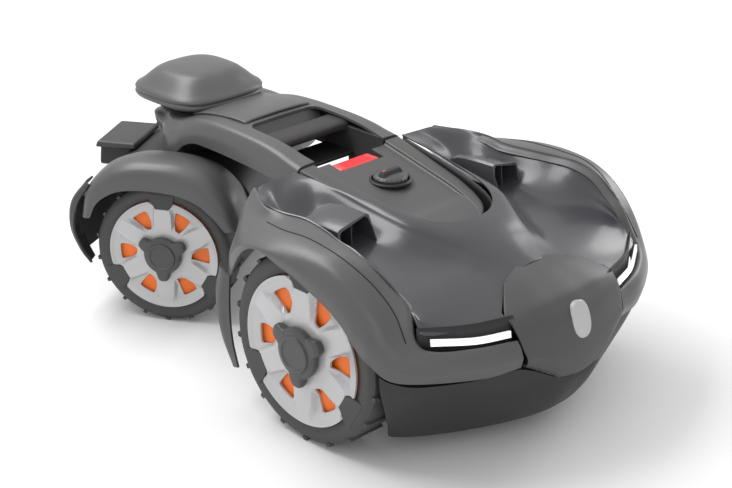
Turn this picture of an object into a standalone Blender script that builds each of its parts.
"""Robotic lawn mower with all-wheel drive and an articulated rear body. Metres, +Z up, front facing -Y.

The origin is on the ground under the middle of the machine's bounding box. Lengths below are in
millimetres, measured from the point on the ground midway between the front wheels, and MM turns them
into metres. Each separate piece of the machine is one named object.
"""

import math

import bmesh
import bpy
from mathutils import Matrix, Vector

MM = 0.001
GAP = 0.4  # clearance between pieces that touch

# Driving dimensions
FRONT_AXLE_Y = -230.2  # puts the origin under the middle of the bounding box
FRONT_WHEEL_R = 134.0
FRONT_DISC_X = 260.0  # outer face of a front wheel's trim, from the centre plane
REAR_SCALE = 0.825  # rear wheels are smaller copies of the front wheels
REAR_DISC_A = 190.0  # outer face of a rear wheel's trim, from the rear body's centre plane
PIVOT_Y = 504.5  # steering axis
STEER_DEG = 30.25  # the rear body stands turned by this much
TYRE_WIDTH = 66.0
TRIM_R = 104.0
LUGS = 18
DISC_Y = -30.0  # cutting disc's axis
DISC_Z = 52.0
DISC_R = 86.0
ROLL_Z = 150.0  # height of the rear body's roll axis
SELECTOR_Y = 95.0  # axis of the selector knob

COLLECTION = bpy.data.collections.new("robotic_lawn_mower")
CUTTERS = bpy.data.collections.new("cutters")


# ---------------------------------------------------------------- scene and materials
def clear_scene():
    for obj in list(bpy.data.objects):
        bpy.data.objects.remove(obj, do_unlink=True)


def empty(name, parent=None):
    made = bpy.data.objects.new(name, None)
    COLLECTION.objects.link(made)
    made.parent = parent
    return made


def new_scene():
    bpy.context.scene.collection.children.link(COLLECTION)
    bpy.context.scene.collection.children.link(CUTTERS)
    bpy.context.scene.unit_settings.scale_length = 1.0
    machine = empty("machine")
    machine.location = (0, FRONT_AXLE_Y * MM, 0)


def material(name, colour, roughness, metallic=0.0):
    made = bpy.data.materials.new(name)
    made.use_nodes = True
    shader = made.node_tree.nodes["Principled BSDF"]
    shader.inputs["Base Color"].default_value = (*colour, 1.0)
    shader.inputs["Roughness"].default_value = roughness
    shader.inputs["Metallic"].default_value = metallic
    return made


def put(obj, mat=None, parent=None, cutter=False):
    """Files an object under its collection, material and parent."""
    for collection in obj.users_collection:
        collection.objects.unlink(obj)
    (CUTTERS if cutter else COLLECTION).objects.link(obj)
    if cutter:
        obj.hide_render = True
        obj.display_type = "WIRE"
    if mat is not None:
        obj.data.materials.clear()
        obj.data.materials.append(mat)
    obj.parent = parent or bpy.data.objects["machine"]
    return obj


# ---------------------------------------------------------------- shape helpers
def from_bmesh(name, bm, mat=None, parent=None, cutter=False):
    mesh = bpy.data.meshes.new(name)
    bmesh.ops.recalc_face_normals(bm, faces=bm.faces)
    bm.to_mesh(mesh)
    bm.free()
    obj = bpy.data.objects.new(name, mesh)
    bpy.context.scene.collection.objects.link(obj)
    return put(obj, mat, parent, cutter)


def box(name, low, high, mat=None, parent=None, bevel=0.0, cutter=False):
    """A box between two corners in millimetres."""
    low, high = Vector(low) * MM, Vector(high) * MM
    bm = bmesh.new()
    size = high - low
    place = Matrix.Translation((low + high) / 2) @ Matrix.Diagonal((*size, 1.0))
    bmesh.ops.create_cube(bm, size=1.0, matrix=place)
    obj = from_bmesh(name, bm, mat, parent, cutter)
    if bevel:
        edge = obj.modifiers.new("edges", "BEVEL")
        edge.width = bevel * MM
        edge.segments = 2
    return obj


AXES = {
    "X": Matrix.Rotation(math.radians(90), 4, "Y"),
    "-X": Matrix.Rotation(math.radians(-90), 4, "Y"),
    "Y": Matrix.Rotation(math.radians(-90), 4, "X"),
    "Z": Matrix.Identity(4),
}


def cylinder(name, radius, start, length, axis="Z", mat=None, parent=None, top=None, sides=32, cutter=False):
    """A cylinder or cone from the point start, running length along axis."""
    bm = bmesh.new()
    turn = AXES[axis]
    middle = Vector(start) * MM + turn @ Vector((0, 0, length * MM / 2))
    bmesh.ops.create_cone(
        bm,
        cap_ends=True,
        segments=sides,
        radius1=radius * MM,
        radius2=(radius if top is None else top) * MM,
        depth=length * MM,
        matrix=Matrix.Translation(middle) @ turn,
    )
    return from_bmesh(name, bm, mat, parent, cutter)


def plate(name, outlines, low, high, mat=None, parent=None, cutter=False):
    """A flat outline, with holes, as a solid between two heights. Outlines are lists of (x, y)."""
    curve = bpy.data.curves.new(name, "CURVE")
    curve.dimensions = "2D"
    curve.fill_mode = "BOTH"
    curve.extrude = (high - low) * MM / 2
    for outline in outlines:
        spline = curve.splines.new("POLY")
        spline.points.add(len(outline) - 1)
        for point, (x, y) in zip(spline.points, outline):
            point.co = (x * MM, y * MM, 0, 1)
        spline.use_cyclic_u = True
    drawn = bpy.data.objects.new(name + "_outline", curve)
    bpy.context.scene.collection.objects.link(drawn)
    graph = bpy.context.evaluated_depsgraph_get()
    mesh = bpy.data.meshes.new_from_object(drawn.evaluated_get(graph))
    bpy.data.objects.remove(drawn)
    bm = bmesh.new()
    bm.from_mesh(mesh)
    bmesh.ops.remove_doubles(bm, verts=bm.verts, dist=0.00001)
    bmesh.ops.translate(bm, verts=bm.verts, vec=(0, 0, (low + high) * MM / 2))
    return from_bmesh(name, bm, mat, parent, cutter)


def lathe(name, profile, mat=None, parent=None, steps=32, cutter=False):
    """A turned solid about local Z from (radius, height) pairs that run down from the axis and back to it."""
    mesh = bpy.data.meshes.new(name)
    points = [(radius * MM, 0, height * MM) for radius, height in profile]
    mesh.from_pydata(points, [(k, k + 1) for k in range(len(points) - 1)], [])
    obj = bpy.data.objects.new(name, mesh)
    bpy.context.scene.collection.objects.link(obj)
    put(obj, mat, parent, cutter)
    turn = obj.modifiers.new("turn", "SCREW")
    turn.steps = steps
    turn.render_steps = steps
    turn.use_merge_vertices = True
    turn.merge_threshold = 0.0001
    return obj


def along(points, count):
    """count points on a smooth Catmull-Rom curve through the given points."""
    points = [Vector(p) for p in points]
    padded = [2 * points[0] - points[1], *points, 2 * points[-1] - points[-2]]
    made = []
    for k in range(count):
        place = k / (count - 1) * (len(points) - 1)
        i = min(int(place), len(points) - 2)
        t = place - i
        a, b, c, d = padded[i : i + 4]
        made.append(
            0.5 * (2 * b + (c - a) * t + (2 * a - 5 * b + 4 * c - d) * t * t + (3 * b - a - 3 * c + d) * t**3)
        )
    return made


def skin(name, lines, count, thickness, mat=None, parent=None, mirror=False, flip=False):
    """A shell whose surface passes through guide lines, each a list of points in millimetres."""
    bm = bmesh.new()
    rows = []
    for line in lines:
        rows.append([bm.verts.new(Vector(p) * MM * 1.0) for p in along(line, count)])
    for low, high in zip(rows, rows[1:]):
        for k in range(count - 1):
            corners = [low[k], low[k + 1], high[k + 1], high[k]]
            bm.faces.new(corners[::-1] if flip else corners)
    mesh = bpy.data.meshes.new(name)
    bm.to_mesh(mesh)
    bm.free()
    obj = bpy.data.objects.new(name, mesh)
    bpy.context.scene.collection.objects.link(obj)
    put(obj, mat, parent)
    if mirror:
        halves = obj.modifiers.new("halves", "MIRROR")
        halves.merge_threshold = 0.0001
    wall = obj.modifiers.new("wall", "SOLIDIFY")
    wall.thickness = thickness * MM
    wall.offset = -1.0
    wall.use_even_offset = True
    return obj


def cut(obj, cutter, operation="DIFFERENCE"):
    step = obj.modifiers.new(cutter.name, "BOOLEAN")
    step.operation = operation
    step.object = cutter


def circle(radius, count, centre=(0.0, 0.0)):
    turn = 2 * math.pi / count
    return [(centre[0] + radius * math.cos(k * turn), centre[1] + radius * math.sin(k * turn)) for k in range(count)]


def mirrored(points):
    """A closed outline from its half at x > 0, listed front to back."""
    return points + [(-x, y) for x, y in reversed(points) if x > 1e-6]


# ---------------------------------------------------------------- wheels
NOTCH_DEGREES = (90, 210, 330)
NOTCH_HALF_OUTER = 14.0  # degrees
NOTCH_HALF_INNER = 9.0
NOTCH_DEPTH = 17.0
WINDOW_HALF = 15.0
CAP_LOBES = (30, 150, 270)


def polar(radius, degrees):
    angle = math.radians(degrees)
    return (radius * math.cos(angle), radius * math.sin(angle))


def lugged_outline(radius, lug_height, scale):
    """A tyre's outside with a row of cleats."""
    points = []
    pitch = 360 / LUGS
    for k in range(LUGS):
        base = (k - 0.36) * pitch
        points.append(polar(radius, base))
        points.append(polar(radius + 0.6, base + pitch * 0.72))
        points.append(polar(radius + lug_height, base + pitch * 0.77))
        points.append(polar(radius + lug_height, base + pitch * 0.95))
    return [(x * scale, y * scale) for x, y in points]


def trim_outline():
    """The silver cover's outside: a circle with three notches."""
    points = []
    for k in range(48):
        degrees = k * 7.5
        away = min(abs((degrees - notch + 180) % 360 - 180) for notch in NOTCH_DEGREES)
        if away > NOTCH_HALF_OUTER + 1:
            points.append((degrees, TRIM_R))
    for notch in NOTCH_DEGREES:
        points.append((notch - NOTCH_HALF_OUTER, TRIM_R))
        points.append((notch - NOTCH_HALF_INNER, TRIM_R - NOTCH_DEPTH))
        points.append((notch + NOTCH_HALF_INNER, TRIM_R - NOTCH_DEPTH))
        points.append((notch + NOTCH_HALF_OUTER, TRIM_R))
    return [polar(radius, degrees) for degrees, radius in sorted(points)]


def wheel(name, outward, at, parent, scale, mats):
    """A wheel on its own empty. Local +Z points out of the machine and local Z = 0 is the trim's face."""
    hub_frame = empty(name + "_axis", parent or bpy.data.objects["machine"])
    hub_frame.location = Vector(at) * MM
    turn = Matrix.Rotation(math.radians(90), 4, "Y") @ Matrix.Rotation(math.radians(90), 4, "Z")
    if outward < 0:
        turn = Matrix.Rotation(math.radians(-90), 4, "Y") @ Matrix.Rotation(math.radians(-90), 4, "Z")
    hub_frame.rotation_euler = turn.to_euler()
    sized = lambda outline: [(x * scale, y * scale) for x, y in outline]
    lug = 4.0
    tyre = plate(
        f"tyre_{name}",
        [lugged_outline(FRONT_WHEEL_R - lug, lug, scale), sized(circle(TRIM_R + 1.0, 32))],
        -TYRE_WIDTH * scale,
        -2.0 * scale,
        mats["rubber"],
        hub_frame,
    )
    for degrees in NOTCH_DEGREES:
        tab = [
            polar(TRIM_R + 3, degrees - NOTCH_HALF_OUTER + 1.2),
            polar(TRIM_R - NOTCH_DEPTH + 1, degrees - NOTCH_HALF_INNER + 1.0),
            polar(TRIM_R - NOTCH_DEPTH + 1, degrees + NOTCH_HALF_INNER - 1.0),
            polar(TRIM_R + 3, degrees + NOTCH_HALF_OUTER - 1.2),
        ]
        block = plate(f"tab_{name}_{degrees}", [sized(tab)], -7.0 * scale, -1.2 * scale, None, hub_frame, cutter=True)
        cut(tyre, block, "UNION")
    windows = []
    for k in range(6):
        middle = 60 * k
        windows.append([polar(54, middle), polar(80, middle - WINDOW_HALF), polar(84, middle + WINDOW_HALF * 0.9)])
    plate(
        f"wheel_trim_{name}",
        [sized(trim_outline()), sized(circle(17, 20))] + [sized(w) for w in windows],
        -7.0 * scale,
        0.0,
        mats["silver"],
        hub_frame,
    )
    disc = lathe(
        f"wheel_hub_{name}",
        [
            (0, -7.0 * scale - GAP),
            (TRIM_R * scale, -7.0 * scale - GAP),
            (TRIM_R * scale, -20 * scale),
            (30 * scale, -22 * scale),
            (24 * scale, -64 * scale),
            (0, -64 * scale),
        ],
        mats["orange"],
        hub_frame,
        24,
    )
    bore = cylinder(f"bore_{name}", 8.3, (0, 0, -70), 66, "Z", None, hub_frame, cutter=True)
    cut(disc, bore)
    lobes = []
    for k in range(36):
        degrees = 10.0 * k
        near = min(abs((degrees - lobe + 180) % 360 - 180) for lobe in CAP_LOBES)
        lobes.append(polar(35 + 13 * math.exp(-((near / 15.0) ** 4)), degrees))
    plate(f"wheel_cap_{name}", [sized(lobes)], GAP, 15.0 * scale, mats["black"], hub_frame)
    cylinder(f"wheel_shaft_{name}", 8.0, (0, 0, -112), 112 - 9 * scale, "Z", mats["steel"], hub_frame, sides=20)


def motor(name, outward, at, length, parent, mat):
    """A gear motor whose shaft hole lies on the wheel's axis, at its inner end at the point at."""
    axis = "X" if outward > 0 else "-X"
    body = cylinder(name, 36, at, length, axis, mat, parent, sides=28)
    hole = cylinder(name + "_hole", 8.6, Vector(at) - Vector((outward * 5, 0, 0)), length + 10, axis, None, parent, sides=20, cutter=True)
    cut(body, hole)


# ---------------------------------------------------------------- front body
CONSOLE_SLOPE_DEG = 7.0
CONSOLE_HALF = [(0, -62), (30, -56), (58, -34), (76, 5), (90, 80), (100, 176)]


def chassis(mats):
    tub = box("chassis_tub", (-140, -166, 62), (140, 150, 206), mats["black"], bevel=8)
    cut(tub, box("tub_inside", (-135, -161, 106), (135, 145, 220), cutter=True))
    cut(tub, cylinder("blade_well", 120, (0, DISC_Y, 50), 48, sides=40, cutter=True))
    cut(tub, cylinder("carriage_well", 47, (0, DISC_Y, 90), 30, sides=32, cutter=True))
    for side in (-1, 1):
        axis = "X" if side > 0 else "-X"
        hole = cylinder(f"shaft_hole_{side}", 12, (side * 130, 0, FRONT_WHEEL_R), 30, axis, sides=20, cutter=True)
        cut(tub, hole)
    for side, name in ((-1, "right"), (1, "left")):
        box(f"charging_contact_{name}", (side * 90 - 14, -158, 58.2), (side * 90 + 14, -134, 61.6), mats["steel"])
        motor(f"wheel_motor_front_{name}", side, (side * 140.4, 0, FRONT_WHEEL_R), 44, None, mats["dark_metal"])


def console(mats):
    """The fixed centre tongue that carries the stop button and the selector knob."""
    outline = mirrored(CONSOLE_HALF)
    cover = plate("console_cover", [outline], 207, 278, mats["satin_grey"])
    edge = cover.modifiers.new("edges", "BEVEL")
    edge.width = 6 * MM
    edge.segments = 2
    edge.limit_method = "ANGLE"
    edge.angle_limit = math.radians(50)
    inside = [(x * 0.94, 190 if y > 170 else 52 + (y - 52) * 0.94) for x, y in outline]
    hollow = plate("console_inside", [[(x, y - 176) for x, y in inside]], -75, -5, cutter=True)
    slope = box("console_slope", (-140, -336, 0), (140, 84, 60), cutter=True)
    for cutter in (hollow, slope):
        cutter.location = (0, 176 * MM, 278.5 * MM)
        cutter.rotation_euler = (math.radians(CONSOLE_SLOPE_DEG), 0, 0)
        cut(cover, cutter)
    cut(cover, box("stop_pocket", (-41, 148, 240), (41, 178, 300), cutter=True))
    cut(cover, cylinder("selector_hole", 25, (0, SELECTOR_Y, 240), 60, cutter=True))
    box("stop_button", (-39.5, 150, 262), (39.5, 176, 283), mats["red"], bevel=3)
    cylinder("selector_shaft", 5, (0, SELECTOR_Y, 240), 30, mat=mats["steel"], sides=16)
    knob = lathe(
        "selector_knob",
        [(0, 285), (13, 284), (15, 274), (23, 270), (23, 262), (0, 262)],
        mats["black"],
        steps=24,
    )
    knob.location = (0, SELECTOR_Y * MM, 0)
    bore = cylinder("selector_bore", 5.4, (0, SELECTOR_Y, 255), 16, sides=16, cutter=True)
    cut(knob, bore)


def boom(mats):
    """The bridge from the front body to the steering axis, with the carry handle across its opening."""
    half = [(100.5, 178), (97, 230), (92, 330), (84, 430), (80, 470)]
    inner = [(94.5, 160), (91, 230), (86, 330), (78, 430), (74, 470)]
    for k in range(1, 9):
        angle = math.radians(-22 + k * 14)
        half.append((84 * math.cos(angle), PIVOT_Y + 84 * math.sin(angle)))
        inner.append((78 * math.cos(angle), PIVOT_Y + 78 * math.sin(angle)))
    cover = plate("boom_cover", [mirrored(half)], 268, 302, mats["satin_grey"])
    edge = cover.modifiers.new("edges", "BEVEL")
    edge.width = 6 * MM
    edge.segments = 2
    edge.limit_method = "ANGLE"
    edge.angle_limit = math.radians(50)
    cut(cover, plate("boom_inside", [mirrored(inner)], 250, 295, cutter=True))
    cut(cover, box("grip_opening", (-74, 170, 240), (74, 322, 320), cutter=True))
    frame = box("boom_frame", (-72, 330, 264), (72, 462, 292), mats["black"])
    for side, name in ((-1, "right"), (1, "left")):
        outline = [(side * 76, 181), (side * 89.5, 181), (side * 84, 345), (side * 66, 345), (side * 66, 331), (side * 76, 331)]
        beam = plate(f"rail_{name}", [outline], 264, 292, cutter=True)
        cut(frame, beam, "UNION")
        outline = [(side * 76.5, 155), (side * 88, 155), (side * 88, 200), (side * 76.5, 200)]
        root = plate(f"rail_root_{name}", [outline], 212, 269, cutter=True)
        cut(frame, root, "UNION")
    cut(frame, box("frame_cross", (-88, 152, 208), (88, 163, 240), cutter=True), "UNION")
    cut(frame, box("frame_neck", (-38, 430, 240), (38, 500, 291), cutter=True), "UNION")
    cut(frame, cylinder("frame_head", 46, (0, PIVOT_Y, 222), 68, sides=32, cutter=True), "UNION")
    cut(frame, cylinder("steering_bore", 18.6, (0, PIVOT_Y, 200), 72, sides=28, cutter=True))
    grip = box("carry_handle", (-75.6, 262, 272), (75.6, 318, 293), mats["soft_black"], bevel=7)
    grip.modifiers["edges"].segments = 3


def pillow(name, rings, mat, corner=3.4, sides=36):
    """A solid lofted through rounded squares, each ring given as (half side, height) from the bottom up."""
    bm = bmesh.new()
    rows = []
    for half, height in rings:
        row = []
        for k in range(sides):
            angle = 2 * math.pi * (k + 0.5) / sides
            c, d = math.cos(angle), math.sin(angle)
            reach = half / (abs(c) ** corner + abs(d) ** corner) ** (1 / corner)
            row.append(bm.verts.new((reach * c * MM, reach * d * MM, height * MM)))
        rows.append(row)
    for low, high in zip(rows, rows[1:]):
        for k in range(sides):
            bm.faces.new([low[k], low[(k + 1) % sides], high[(k + 1) % sides], high[k]])
    bm.faces.new(rows[0][::-1])
    bm.faces.new(rows[-1])
    return from_bmesh(name, bm, mat)


def receiver(mats):
    """The satellite receiver that stands over the steering axis: a tapered base, and a lid with a rolled rim."""
    base_rings = [(54, 302.5), (62, 304), (76, 309), (80, 310.6)]
    lid_rings = [(80, 311), (85, 312), (86, 318), (85, 326), (78, 333), (62, 349), (46, 355), (20, 357.5)]
    for piece in (pillow("receiver_base", base_rings, mats["dark_grey"]), pillow("receiver_lid", lid_rings, mats["satin_grey"])):
        piece.location = (0, (PIVOT_Y + 6) * MM, 0)


# ---------------------------------------------------------------- floating front cover
def top_cover(mats):
    """The glossy upper cover: a crowned sheet with an opening for the console and two sensor hoods."""
    rear = [(173, 176, 288), (150, 177, 290), (110, 177, 292), (60, 177, 293), (0, 177, 293)]
    line_2 = [(199, 120, 285), (166, 116, 262), (110, 112, 286), (76, 112, 289), (0, 112, 290)]
    line_3 = [(195, 54, 284), (158, 52, 253), (104, 49, 276), (78, 50, 282), (0, 50, 284)]
    line_4 = [(206, -14, 285), (154, -14, 252), (98, -14, 268), (70, -12, 275), (0, -12, 277)]
    line_5 = [(217, -84, 276), (166, -84, 240), (90, -82, 252), (60, -80, 262), (0, -80, 264)]
    line_6 = [(214, -136, 246), (184, -142, 222), (84, -142, 234), (48, -144, 242), (0, -144, 245)]
    line_7 = [(210, -157, 220), (180, -178, 208), (104, -194, 214), (52, -198, 221), (0, -198, 224)]
    line_8 = [(210, -171, 203), (180, -192, 203), (106, -219, 204), (52, -228, 205), (0, -232, 205)]
    cover = skin("top_cover", [line_8, line_7, line_6, line_5, line_4, line_3, line_2, rear], 13, 3.0,
                 mats["gloss_grey"], mirror=True, flip=True)
    cover.modifiers.new("flat_faces", "TRIANGULATE")
    clear = 8.0
    around = [(x + clear if x > 1 else x, y - clear) for x, y in CONSOLE_HALF] + [(108, 200)]
    cut(cover, plate("console_opening", [mirrored(around)], 150, 340, cutter=True))
    nose_gap = [(0, -300), (118, -300), (108, -226), (104, -208), (64, -174), (0, -170)]
    cut(cover, plate("nose_opening", [mirrored(nose_gap)], 100, 340, cutter=True))
    for side, name in ((-1, "right"), (1, "left")):
        hood = box(f"hood_{name}", (side * 151 - 31, 12, 241), (side * 151 + 31, 92, 280), cutter=True, bevel=3)
        cut(cover, hood, "UNION")
        mouth = box(f"hood_mouth_{name}", (side * 151 - 27, 4, 257), (side * 151 + 27, 76, 275.5), cutter=True)
        cut(cover, mouth)
        box(f"ultrasonic_sensor_{name}", (side * 151 - 17, 40, 257.5), (side * 151 + 17, 60, 275), mats["black"], bevel=3)


def side_shells(mats):
    """Fender, cheek and lower lip on each side, from the nose panel round to the back of the front wheel."""
    upper = [(104, -233, 180), (160, -215, 183), (211, -184, 188), (221, -146, 238), (224, -88, 276),
             (213, -20, 286), (201, 54, 286), (205, 120, 287), (178, 178, 289)]
    second = [(103, -239, 168), (162, -223, 172), (228, -180, 178), (233, -138, 228), (240, -86, 270),
              (238, -18, 284), (236, 56, 281), (222, 110, 276), (190, 178, 273)]
    crease = [(102, -242, 157), (163, -227, 160), (247, -168, 166), (259, -126, 222), (264, -78, 259),
              (263, -10, 277), (262, 58, 275), (250, 108, 265), (222, 172, 248)]
    edge = [(100, -238, 140), (163, -222, 141), (250, -158, 146), (270, -116, 184), (273, -72, 228),
            (275, -12, 252), (276, 60, 265), (270, 106, 242), (256, 166, 176)]
    for side, name in ((1, "left"), (-1, "right")):
        lines = [[(side * x, y, z) for x, y, z in line] for line in (upper, second, crease, edge)]
        skin(f"fender_{name}", lines, 19, 3.0, mats["satin_grey"], flip=side > 0)
        lamp_low = [(side * (x - 3 * (x > 210)), y + 6.5, z + 1.5) for x, y, z in [(112, -231, 182), (158, -216, 184), (203, -188, 187)]]
        lamp_high = [(x, y + 1, z + 9) for x, y, z in lamp_low]
        lamp_skin = skin(f"headlight_{name}", [lamp_low, lamp_high], 7, 5.0, mats["lamp"], flip=side > 0)
        lamp_skin.modifiers["wall"].use_even_offset = False


def nose_and_bumper(mats):
    top = [(0, -176, 226), (34, -176, 226), (62, -179, 224)]
    brow = [(0, -226, 206), (52, -224, 205), (101, -214, 199)]
    pocket = [(0, -240, 190), (56, -238, 189), (103, -226, 184)]
    middle = [(0, -252, 160), (50, -251, 160), (98, -240, 156)]
    chin = [(0, -262, 122), (30, -261, 122), (97, -240, 141)]
    lip = [(0, -259, 108), (30, -258, 108), (97, -235, 137)]
    lines = [top, brow, pocket, middle, chin, lip]
    skin("nose_panel", lines, 9, 3.0, mats["satin_grey"], mirror=True, flip=True)
    head = [(0, -254, 104), (30, -253, 104), (96, -231, 133), (160, -214, 134), (222, -180, 136), (249, -153, 141), (258, -144, 150)]
    belly = [(0, -244, 84), (30, -243, 84), (94, -226, 90), (152, -204, 92), (210, -172, 94), (236, -150, 98), (244, -143, 100)]
    foot = [(0, -206, 30), (30, -205, 30), (80, -188, 30), (130, -166, 30), (176, -138, 30), (202, -116, 31), (204, -106, 32)]
    skin("front_bumper", [head, belly, foot], 19, 4.0, mats["bumper"], mirror=True, flip=True)


# ---------------------------------------------------------------- cutting unit
def cutting_unit(mats):
    centre = (0, DISC_Y)
    carriage = cylinder("height_carriage", 44, (*centre, 84), 84, mat=mats["black"], sides=32)
    cut(carriage, cylinder("carriage_inside", 33, (*centre, 88), 90, sides=28, cutter=True))
    cut(carriage, cylinder("carriage_shaft_hole", 6, (*centre, 70), 30, sides=20, cutter=True))
    cylinder("cutting_motor", 32.4, (*centre, 88.5), 62, mat=mats["dark_metal"], sides=28)
    disc = lathe("blade_disc", [(0, 4), (30, 4), (DISC_R, 0), (DISC_R, -3), (0, -3)], mats["steel"], steps=40)
    disc.location = (0, DISC_Y * MM, DISC_Z * MM)
    stub = cylinder("blade_stub", 5.4, (0, 0, 2), 34, sides=20, cutter=True)
    stub.location = disc.location
    cut(disc, stub, "UNION")
    for k in range(3):
        frame = Matrix.Translation((0, DISC_Y * MM, 0)) @ Matrix.Rotation(math.radians(120 * k), 4, "Z")
        blade = plate(f"blade_{k + 1}", [[(66, -8), (112, -8), (112, 8), (66, 8)], circle(3.4, 12, (74, 0))],
                      DISC_Z - 4.6, DISC_Z - 3.6, mats["steel"])
        blade.matrix_basis = frame
        pin = cylinder(f"pin_{k}", 3.0, (74, 0, DISC_Z - 6), 5, sides=12, cutter=True)
        pin.matrix_basis = frame
        cut(disc, pin, "UNION")
    skid = lathe("skid_plate", [(0, 10), (14, 10), (14, 3.5), (66, 5.5), (66, 4), (52, 0), (0, 0)], mats["black"], steps=36)
    skid.location = (0, DISC_Y * MM, (DISC_Z - 13.5) * MM)


# ---------------------------------------------------------------- rear body
def rear_body(mats):
    """Pieces in the rear body's own frame, which is turned about the steering axis."""
    frame = empty("rear_frame", bpy.data.objects["machine"])
    frame.location = (0, PIVOT_Y * MM, 0)
    frame.rotation_euler = (0, 0, math.radians(STEER_DEG))
    yoke = cylinder("steering_yoke", 18, (0, 0, ROLL_Z), 112, mat=mats["dark_metal"], parent=frame, sides=28)
    barrel = cylinder("roll_barrel", 14, (0, -56, ROLL_Z), 112, "Y", None, frame, sides=28, cutter=True)
    cut(yoke, barrel, "UNION")
    tub = box("rear_chassis", (-104, -84, 50), (104, 104, 184), mats["black"], frame, bevel=8)
    cut(tub, box("rear_inside", (-99, -50, 56), (99, 50, 200), parent=frame, cutter=True))
    cut(tub, cylinder("roll_bore", 14.5, (0, -60, ROLL_Z), 120, "Y", None, frame, sides=28, cutter=True))
    battery = box("battery_pack", (-62, -44, 60), (62, 44, 122), mats["battery"], frame, bevel=4)
    battery.modifiers["edges"].segments = 1
    for side, name in ((-1, "right"), (1, "left")):
        axis = "X" if side > 0 else "-X"
        hole = cylinder(f"rear_hole_{name}", 12, (side * 85, 0, FRONT_WHEEL_R * REAR_SCALE), 30, axis, None, frame, sides=20, cutter=True)
        cut(tub, hole)
        motor(f"wheel_motor_rear_{name}", side, (side * 104.4, 0, FRONT_WHEEL_R * REAR_SCALE), 26, frame, mats["dark_metal"])
        rear_fender(name, side, frame, mats)
    deck = box("rear_cover", (-112, -92, 185), (112, 108, 206), mats["dark_grey"], frame, bevel=5)
    cut(deck, box("deck_inside", (-106, -86, 180), (106, 100, 200), parent=frame, cutter=True))
    cut(deck, cylinder("deck_hole", 34, (0, 0, 170), 60, "Z", None, frame, sides=32, cutter=True))
    hood = box("rear_hood", (-48, 109.5, 193), (48, 158, 222), mats["black"], frame, bevel=4)
    cut(hood, box("hood_lid", (-51, 97, 217), (51, 161, 227), parent=frame, cutter=True, bevel=3), "UNION")
    cut(hood, box("hood_inside", (-43, 90, 198), (43, 150, 216), parent=frame, cutter=True))
    top = [(0, 118, 186), (60, 118, 187), (120, 119, 200), (168, 122, 206), (188, 122, 204)]
    bulge = [(0, 136, 176), (60, 136, 176), (120, 142, 182), (168, 146, 182), (189, 142, 180)]
    low = [(0, 130, 120), (60, 132, 120), (120, 138, 120), (168, 146, 118), (187, 144, 116)]
    tip = [(0, 118, 92), (60, 120, 92), (120, 128, 90), (168, 130, 84), (185, 126, 82)]
    bumper = skin("rear_bumper", [top, bulge, low, tip], 11, 4.0, mats["dark_grey"], frame, mirror=True)
    bumper.modifiers["wall"].use_even_offset = False
    return frame


def rear_fender(name, side, frame, mats):
    """An arched cover over a rear wheel, with an outer flange."""
    lines = []
    centre = FRONT_WHEEL_R * REAR_SCALE
    for a, radius in ((122, 124), (150, 134), (180, 134), (196, 127), (200, 117), (199, 108)):
        line = []
        for k in range(7):
            degrees = 32 + k * 20
            swell = 1.0 + 0.04 * math.cos(math.radians(2 * (degrees - 90)))
            line.append((side * a, radius * swell * math.cos(math.radians(degrees)),
                         centre + radius * swell * math.sin(math.radians(degrees))))
        lines.append(line)
    skin(f"rear_fender_{name}", lines, 17, 3.0, mats["satin_grey"], frame, flip=side < 0)


# ---------------------------------------------------------------- assembly
def build():
    clear_scene()
    new_scene()
    mats = {
        "gloss_grey": material("gloss_grey", (0.055, 0.055, 0.06), 0.22),
        "satin_grey": material("satin_grey", (0.12, 0.12, 0.12), 0.45),
        "dark_grey": material("dark_grey", (0.075, 0.075, 0.075), 0.5),
        "black": material("black", (0.02, 0.02, 0.02), 0.5),
        "soft_black": material("soft_black", (0.03, 0.03, 0.03), 0.65),
        "bumper": material("bumper", (0.03, 0.03, 0.032), 0.6),
        "rubber": material("rubber", (0.045, 0.045, 0.045), 0.8),
        "silver": material("silver", (0.62, 0.62, 0.63), 0.35, 0.2),
        "orange": material("orange", (0.8, 0.14, 0.01), 0.5),
        "steel": material("steel", (0.55, 0.55, 0.56), 0.3, 1.0),
        "dark_metal": material("dark_metal", (0.12, 0.12, 0.13), 0.45, 0.8),
        "red": material("red", (0.75, 0.03, 0.04), 0.35),
        "lamp": material("lamp", (0.9, 0.9, 0.9), 0.2),
        "battery": material("battery", (0.05, 0.05, 0.06), 0.6),
    }
    chassis(mats)
    console(mats)
    boom(mats)
    receiver(mats)
    top_cover(mats)
    side_shells(mats)
    nose_and_bumper(mats)
    cutting_unit(mats)
    rear_frame = rear_body(mats)
    for side, name in ((-1, "right"), (1, "left")):
        wheel(f"front_{name}", side, (side * FRONT_DISC_X, 0, FRONT_WHEEL_R), None, 1.0, mats)
        wheel(f"rear_{name}", side, (side * REAR_DISC_A, 0, FRONT_WHEEL_R * REAR_SCALE), rear_frame, REAR_SCALE, mats)


build()
